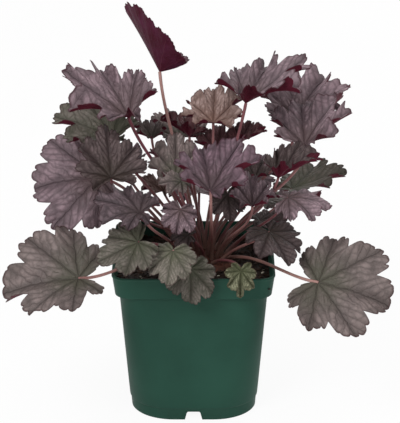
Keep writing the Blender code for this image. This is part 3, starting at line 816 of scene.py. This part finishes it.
def add_sheet(shell, centre_point, points, reach, shares, slot, flip):
    """Add one face of a blade: rings of quads round a centre point. Returns its outer ring."""
    theta = blade_columns()
    rings, count = reach.shape
    lobe = np.clip(np.round((theta + np.roll(theta, -1)) / 2 / LOBE_SPACING), -SIDE_LOBES, SIDE_LOBES)
    lobe[-1] = SIDE_LOBES
    centre = shell.add_points([tuple(centre_point)], [0.0])
    start = shell.add_points([tuple(p) for p in points.reshape(-1, 3)], np.repeat(shares, count))
    for ring in range(-1, rings - 1):
        for i in range(count):
            j = (i + 1) % count
            corners = [(ring, i), (ring + 1, i), (ring + 1, j), (ring, j)]
            if ring < 0:
                corners.pop()
            if flip:
                corners.reverse()
            ids, flats, veins = [], [], []
            for row, column in corners:
                distance = reach[row, column] if row >= 0 else 0.0
                ids.append(start + row * count + column if row >= 0 else centre)
                flats.append(polar(distance, theta[column]))
                veins.append(vein_place(theta[column], distance, lobe[i]))
            shell.add_face(ids, flats, veins, slot)
    return start + (rings - 1) * count


def add_edge(shell, top_ring, under_ring, reach):
    """Close the thin margin between the two faces of a blade."""
    theta = blade_columns()
    count = len(theta)
    for i in range(count):
        j = (i + 1) % count
        ids = [top_ring + i, under_ring + i, under_ring + j, top_ring + j]
        flats = [polar(reach[-1, column], theta[column]) for column in (i, i, j, j)]
        shell.add_face(ids, flats, [MARGIN_VEINS] * 4, 0)


def add_stalk(shell, leaf, root, matrix, redness):
    """Add the stalk as a round tube, flared into the blade and a little swollen at its base."""
    path = stalk_path(leaf, root, matrix)
    path[0] = path[0] - matrix.to_3x3() @ Vector((0, 0, STALK_SINK))
    tip_radius = STALK_TIP_RADIUS + STALK_RADIUS_PER_LENGTH * leaf.length * MM
    across = matrix.to_3x3() @ Vector((1, 0, 0))
    last = len(path) - 1
    shares = [min(1.0, index / STALK_SEGMENTS) for index in range(len(path))]
    starts = []
    for index, (point, share) in enumerate(zip(path, shares)):
        ahead = (path[min(index + 1, last)] - path[max(index - 1, 0)]).normalized()
        across = (across - ahead * across.dot(ahead)).normalized()
        beside = across.cross(ahead)
        radius = tip_radius + (STALK_BASE_RADIUS - tip_radius) * share**2
        flare = STALK_FLARE * exp(-share * STALK_FLARE_FADE)
        swelling = STALK_SWELLING * exp(-(1 - share) * STALK_SWELLING_FADE)
        radius *= 1 + flare + swelling
        radius *= STALK_TOP_CAP if index == 0 else 1.0
        ring = []
        for side in range(STALK_SIDES):
            angle = side / STALK_SIDES * tau
            ring.append(tuple(point + (across * cos(angle) + beside * sin(angle)) * radius))
        starts.append(shell.add_points(ring, [redness] * STALK_SIDES))
    for index in range(last):
        lower, upper = starts[index], starts[index + 1]
        low, high = shares[index], shares[index + 1]
        for side in range(STALK_SIDES):
            other = (side + 1) % STALK_SIDES
            ids = [lower + side, lower + other, upper + other, upper + side]
            right, left = side / STALK_SIDES, (side + 1) / STALK_SIDES
            flats = [(low, right), (low, left), (high, left), (high, right)]
            shell.add_face(ids, flats, flats, 2)
    for start, order in ((starts[0], -1), (starts[-1], 1)):
        ids = [start + side for side in range(STALK_SIDES)][::order]
        shell.add_face(ids, [(0.0, 0.0)] * STALK_SIDES, [(0.0, 0.0)] * STALK_SIDES, 2)


def make_leaf(leaf, index, root, materials):
    """One leaf: both faces of its blade, the margin between them, and its stalk."""
    seed = LEAF_SEED_STEP * index
    edge = EDGES[leaf.edge]
    redness = REDNESS.get(leaf.name, USUAL_REDNESS + REDNESS_VARIETY * sin(3.3 * index))
    matrix = leaf_frame(leaf)
    turn = np.array(matrix.to_3x3())
    place = np.array(matrix.translation)
    top_shares = [((k + 1) / TOP_RINGS) ** RING_CROWDING for k in range(TOP_RINGS)]
    picks = [round(k) for k in np.linspace(0, TOP_RINGS - 1, UNDER_RINGS)]
    points, reach = blade_grid(leaf, seed, edge, top_shares)
    under = points - grid_normals(points) * BLADE_THICKNESS
    shell = Shell()
    top_ring = add_sheet(shell, place, points @ turn.T + place, reach, top_shares, 0, False)
    under_points = (under @ turn.T + place)[picks]
    under_shares = [top_shares[k] for k in picks]
    under_centre = place - turn[:, 2] * BLADE_THICKNESS / cos(radians(leaf.cup))
    under_ring = add_sheet(shell, under_centre, under_points, reach[picks], under_shares, 1, True)
    add_edge(shell, top_ring, under_ring, reach)
    add_stalk(shell, leaf, root, matrix, redness)
    light = LIGHTS.get(leaf.name, 1 + LIGHT_VARIETY * sin(5.1 * index + 1))
    obj = shell.build(leaf.name.removeprefix("leaf_") + "_leaf", light, materials)
    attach(obj, "root")
    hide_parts(leaf.name)


# ---- pot, soil and crown


def square_ring(half, corner, z):
    """Points of a square with round corners, counter-clockwise from its right side."""
    flats = []
    for quarter in range(4):
        turn = Matrix.Rotation(quarter * pi / 2, 2)
        for step in range(CORNER_STEPS + 1):
            angle = step / CORNER_STEPS * pi / 2
            rounding = corner * Vector(polar(1, angle))
            flats.append(turn @ (Vector((half - corner, half - corner)) + rounding))
        start, end = turn @ Vector((half - corner, half)), turn @ Vector((corner - half, half))
        for step in range(1, SIDE_STEPS):
            flats.append(start.lerp(end, step / SIDE_STEPS))
    return [Vector((flat.x, flat.y, z)) for flat in flats]


def skin(builder, lower, upper):
    """Close the strip between two rings of the same length with quads."""
    count = len(lower)
    for i in range(count):
        j = (i + 1) % count
        builder.faces.new((lower[i], lower[j], upper[j], upper[i]))


def add_rings(builder, sections):
    """A ring of points for each (half width, corner radius, height) of a rounded square."""
    return [[builder.verts.new(p) for p in square_ring(*section)] for section in sections]


def loft(builder, rings, capped=True):
    """Skin neighbouring rings together, and close both ends where they are capped."""
    for lower, upper in zip(rings, rings[1:]):
        skin(builder, lower, upper)
    if capped:
        builder.faces.new(reversed(rings[0]))
        builder.faces.new(rings[-1])


def finish_mesh(name, builder, material, sharp=40):
    mesh = bpy.data.meshes.new(name)
    builder.to_mesh(mesh)
    builder.free()
    mesh.shade_smooth()
    mesh.set_sharp_from_angle(angle=radians(sharp))
    if material:
        mesh.materials.append(material)
    return place_object(name, mesh)


def body_section(z):
    """Half width and corner radius of the pot's outer body at a height."""
    share = (z - FOOT_BAND) / (BODY_TOP - FOOT_BAND)
    half = FOOT_HALF + (BODY_TOP_HALF - FOOT_HALF) * share
    corner = FOOT_CORNER + (BODY_TOP_CORNER - FOOT_CORNER) * share
    return half, corner


def eased(half, corner, z, steps):
    """Sections of an eased edge, as steps (out, rounder, up) in millimetres from the sharp one."""
    return [(half + out * MM, corner + rounder * MM, z + up * MM) for out, rounder, up in steps]


def pot_profile():
    """Sections up the outside, down the inside to the floor, and down the skirt under it."""
    foot_half, foot_corner = body_section(FOOT_BAND)
    band_half = foot_half - FOOT_INSET
    lip_foot = POT_HEIGHT - LIP
    outer = eased(band_half - DRAFT, foot_corner, 0.0, ((-0.3, 0, 0), (0, 0, 0.4)))
    outer += eased(band_half, foot_corner, FOOT_BAND, ((0, 0, -1.0), (0.2, 0, -0.7)))
    outer += eased(foot_half, foot_corner, FOOT_BAND, ((-0.1, 0, -0.1), (0, 0, 0.4)))
    for step in range(1, BODY_LEVELS):
        z = FOOT_BAND + (BODY_TOP - FOOT_BAND) * step / BODY_LEVELS
        outer.append((*body_section(z), z))
    under_rim = ((-0.1, 0, -1.2), (0.3, -0.3, -0.2), (1.2, -1.0, 0.2))
    rim_turn = ((-0.8, 1.0, 0.4), (-0.1, 1.0, 0.8), (0, 1.0, 1.6))
    outer += eased(BODY_TOP_HALF, BODY_TOP_CORNER, BODY_TOP, under_rim)
    outer += eased(SHOULDER_HALF, RIM_CORNER, BODY_TOP, rim_turn)
    outer += eased(RIM_HALF - DRAFT, RIM_CORNER, lip_foot, ((0, 0, -1.2), (0.1, 0, -0.6)))
    outer += eased(RIM_HALF, RIM_CORNER, lip_foot, ((-0.1, 0, -0.1), (0, 0, 0.4)))
    outer += eased(RIM_HALF, RIM_CORNER, POT_HEIGHT, ((-0.1, 0, -0.3), (-0.4, 0, -0.05), (-0.8, 0, 0)))
    inner_corner = RIM_CORNER - WALL
    above_step = BODY_TOP + 0.2 * MM
    step_half, step_corner = body_section(above_step)
    floor_half, floor_corner = body_section(FLOOR_TOP)
    inner = eased(RIM_HALF - WALL, inner_corner, POT_HEIGHT, ((-0.2, 0, -0.05), (-0.6, 0, -0.6)))
    inner += eased(SHOULDER_HALF - WALL, inner_corner, BODY_TOP, ((0, 0, 3.4), (-0.4, 0, 2.8)))
    inner.append((step_half - WALL, step_corner - WALL, above_step))
    inner.append((floor_half - WALL, floor_corner - WALL, FLOOR_TOP))
    under_half, under_corner = body_section(FLOOR_UNDERSIDE)
    skirt = [(under_half - FOOT_INSET - WALL, under_corner - WALL, FLOOR_UNDERSIDE)]
    skirt.append((band_half - 2 * DRAFT - WALL, foot_corner - WALL, 0.0))
    return outer, inner, skirt


def notch_cutter(quarter):
    """Wedge that cuts a drain notch through the foot band in the middle of a side."""
    builder = bmesh.new()
    slope = (NOTCH_BOTTOM_WIDTH - NOTCH_TOP_WIDTH) / (2 * NOTCH_HEIGHT)
    low, high = -CUTTER_OVERRUN, NOTCH_HEIGHT
    top = NOTCH_TOP_WIDTH / 2
    wide = top + slope * (high - low)
    bend = EASE_BEND * NOTCH_EASE
    half = [(wide, low), (top + slope * NOTCH_EASE, high - NOTCH_EASE)]
    half += [(top - bend, high - bend), (top - NOTCH_EASE, high)]
    section = [(-y, z) for y, z in reversed(half)] + half
    rings = []
    for x in (FOOT_HALF - NOTCH_CUT_DEPTH, FOOT_HALF + CUTTER_OVERRUN):
        rings.append([builder.verts.new((x, y, z)) for y, z in section])
    loft(builder, rings)
    cutter = finish_mesh(f"cutter_notch_{quarter}", builder, None)
    cutter.rotation_euler.z = quarter * pi / 2
    return cutter


def drain_cutter(name, x, y):
    builder = bmesh.new()
    depth = FLOOR_THICKNESS + 2 * CUTTER_OVERRUN
    size = {"radius1": DRAIN_RADIUS, "radius2": DRAIN_RADIUS, "depth": depth}
    bmesh.ops.create_cone(builder, cap_ends=True, segments=DRAIN_SIDES, **size)
    cutter = finish_mesh(name, builder, None)
    cutter.location = (x, y, FLOOR_UNDERSIDE + FLOOR_THICKNESS / 2)
    return cutter


def make_pot():
    """The nursery pot with eased edges, its drain notches and holes cut through."""
    outer, inner, skirt = pot_profile()
    builder = bmesh.new()
    rings = add_rings(builder, outer + inner)
    loft(builder, rings, capped=False)
    builder.faces.new(rings[-1])
    under = add_rings(builder, skirt)
    builder.faces.new(reversed(under[0]))
    skin(builder, under[0], under[1])
    skin(builder, under[1], rings[0])
    pot = finish_mesh("nursery_pot", builder, pot_material(), sharp=35)
    cutters = [notch_cutter(quarter) for quarter in range(4)]
    cutters.append(drain_cutter("cutter_drain_middle", 0, 0))
    for quarter in range(4):
        x, y = polar(DRAIN_OFFSET, quarter * pi / 2)
        cutters.append(drain_cutter(f"cutter_drain_{quarter}", x, y))
    for cutter in cutters:
        cut = pot.modifiers.new(cutter.name, "BOOLEAN")
        cut.operation = "DIFFERENCE"
        cut.solver = "EXACT"
        cut.object = cutter
    bpy.context.view_layer.update()
    shape = bpy.data.meshes.new_from_object(pot.evaluated_get(bpy.context.evaluated_depsgraph_get()))
    pot.modifiers.clear()
    pot.data = shape
    for cutter in cutters:
        bpy.data.objects.remove(cutter)
    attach(pot, "root")
    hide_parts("pot")


def rough_height(x, y, waves):
    """Height of a crumbly surface above its mean level."""
    return sum(height * noise.noise(Vector((x * fine, y * fine, seed))) for fine, seed, height in waves)


def make_soil():
    """The root ball, with a crumbly top that settles a little towards the pot wall."""
    levels = []
    for z in (FLOOR_TOP + GAP, BODY_TOP - 0.001):
        half, corner = body_section(z)
        levels.append((half - WALL + SOIL_LAP, corner - WALL, z))
    wall_half = SHOULDER_HALF - WALL + SOIL_LAP
    levels.append((wall_half, RIM_CORNER - WALL, BODY_TOP + 0.004))
    builder = bmesh.new()
    rings = add_rings(builder, levels)
    for step in range(SOIL_RINGS):
        share = 1 - (step / SOIL_RINGS) ** SOIL_CROWDING
        half = wall_half * share
        corner = min(half * 0.999, RIM_CORNER + SOIL_ROUNDING * wall_half * (1 - share))
        ring = []
        for point in square_ring(half, corner, 0.0):
            mound = SOIL_MOUND * sin(pi / 2 * min(1.0, (1 - share) * SOIL_SHOULDER))
            z = SOIL_TOP - SOIL_SETTLED + mound + rough_height(point.x, point.y, SOIL_WAVES)
            ring.append(builder.verts.new((point.x, point.y, z)))
        rings.append(ring)
    loft(builder, rings)
    peat = soil_material("potting_mix_peat", (0.95, 0.95, 0.95, 1.0))
    soil = finish_mesh("potting_mix", builder, peat, sharp=80)
    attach(soil, "root")
    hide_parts("potting_soil")


def make_chips():
    """Loose bark and peat crumbs on top of the soil, and a few pale grains of perlite."""
    random = np.random.default_rng(CHIPS_SEED)
    inside = RIM_HALF - WALL - CHIPS_WALL_GAP
    for name, count, sizes, flatness, look, light in CHIPS:
        material = soil_material(look, light) if light else perlite_material(look)
        builder = bmesh.new()
        for _ in range(count):
            x, y = random.uniform(-inside, inside, 2)
            if hypot(x - CROWN_X, y - CROWN_Y) < CROWN_RADIUS * CHIPS_CLEAR:
                continue
            size = random.uniform(*sizes)
            scale = Vector((size * random.uniform(*CHIPS_STRETCH), size, size * flatness))
            spin = Matrix.Rotation(random.uniform(0, tau), 4, "Z")
            tilt = Matrix.Rotation(random.uniform(-CHIPS_TILT, CHIPS_TILT), 4, "X")
            z = SOIL_TOP - CHIPS_SUNK + rough_height(x, y, SOIL_WAVES) + scale.z * CHIPS_RAISED
            matrix = Matrix.Translation((x, y, z)) @ spin @ tilt @ Matrix.Diagonal((*scale, 1))
            made = bmesh.ops.create_icosphere(builder, subdivisions=1, radius=1.0)["verts"]
            for vertex in made:
                vertex.co = matrix @ (vertex.co * random.uniform(*CHIPS_ROUGHNESS))
        chips = finish_mesh(name, builder, material, sharp=50)
        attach(chips, "root")


def make_crown():
    """The knobbly crown under the stalks: a low dome of old leaf bases."""
    builder = bmesh.new()
    rings = []
    for level in range(CROWN_LEVELS):
        share = 1 - level / CROWN_LEVELS
        radius = CROWN_RADIUS * share
        ring = []
        for side in range(CROWN_SIDES):
            angle = side / CROWN_SIDES * tau
            x, y = polar(radius, angle, CROWN_X, CROWN_Y)
            sunk = CROWN_SKIRT if level == 0 else 0.0
            z = crown_height(radius) + CROWN_KNOB * rough_height(x, y, CROWN_WAVES) - sunk
            ring.append(builder.verts.new((x, y, z)))
        rings.append(ring)
    loft(builder, rings)
    crown = finish_mesh("leaf_crown", builder, crown_material(), sharp=60)
    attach(crown, "root")
    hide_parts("crown")


# ---- stage


def add_area(name, place, target, size, level):
    """A soft box that lights a surface facing it, at the target, to a share of its own colour."""
    lamp = bpy.data.lights.new(name, "AREA")
    lamp.shape = "SQUARE"
    lamp.size = size
    away = Vector(place) - Vector(target)
    lamp.energy = level * pi**2 * away.length_squared
    obj = place_object(name, lamp)
    obj.location = place
    obj.rotation_euler = away.to_track_quat("Z", "Y").to_euler()


def make_stage():
    scene = bpy.context.scene
    bpy.ops.mesh.primitive_plane_add(size=FLOOR_SIZE, location=(0, 0, -FLOOR_DROP))
    floor = bpy.context.object
    floor.name = "studio_floor_plane"
    floor.data.materials.append(floor_material())
    world = Graph("studio_world", world=True)
    seen = world.node("LightPath").outputs["Is Camera Ray"]
    world.feed(world.shader.inputs["Strength"], world.rise(seen, 0.0, 1.0, WORLD_LEVEL))
    world.feed(world.shader.inputs["Color"], (1, 1, 1, 1))
    scene.world = world.owner
    for name, place, size, strength in LAMPS:
        add_area(name, place, LAMP_TARGET, size, strength)
    scene.view_settings.view_transform = "Standard"


def make_camera():
    """Slightly raised, straight in front of the pot, from a long way off."""
    camera = bpy.data.cameras.new("photo_camera")
    obj = place_object("photo_camera", camera)
    raised = radians(CAMERA_ELEVATION)
    away = Vector((0, -cos(raised), sin(raised)))
    obj.location = Vector(CAMERA_TARGET) + away * CAMERA_DISTANCE
    obj.rotation_euler = away.to_track_quat("Z", "Y").to_euler()
    camera.sensor_fit = "VERTICAL"
    camera.sensor_height = 36
    camera.lens = camera.sensor_height * CAMERA_DISTANCE / CAMERA_FRAME_HEIGHT
    camera.clip_start = 0.05
    camera.dof.use_dof = False
    bpy.context.scene.camera = obj


def build():
    make_camera()
    make_pot()
    make_soil()
    make_chips()
    make_crown()
    tops = {tone: top_material(tone, colours) for tone, colours in TONES.items()}
    under = under_material("leaf_underside", UNDERSIDE_DEEP, UNDERSIDE)
    fan_under = under_material("leaf_underside_fan", FAN_DEEP, FAN_UNDERSIDE)
    stalk = stalk_material()
    roots = root_points()
    for index, leaf in enumerate(LEAVES):
        below = fan_under if leaf.edge == "fine" else under
        top = tops[OTHER_TOPS.get(leaf.name, leaf.tone)]
        make_leaf(leaf, index, roots[leaf.name], (top, below, stalk))
    make_stage()


build()
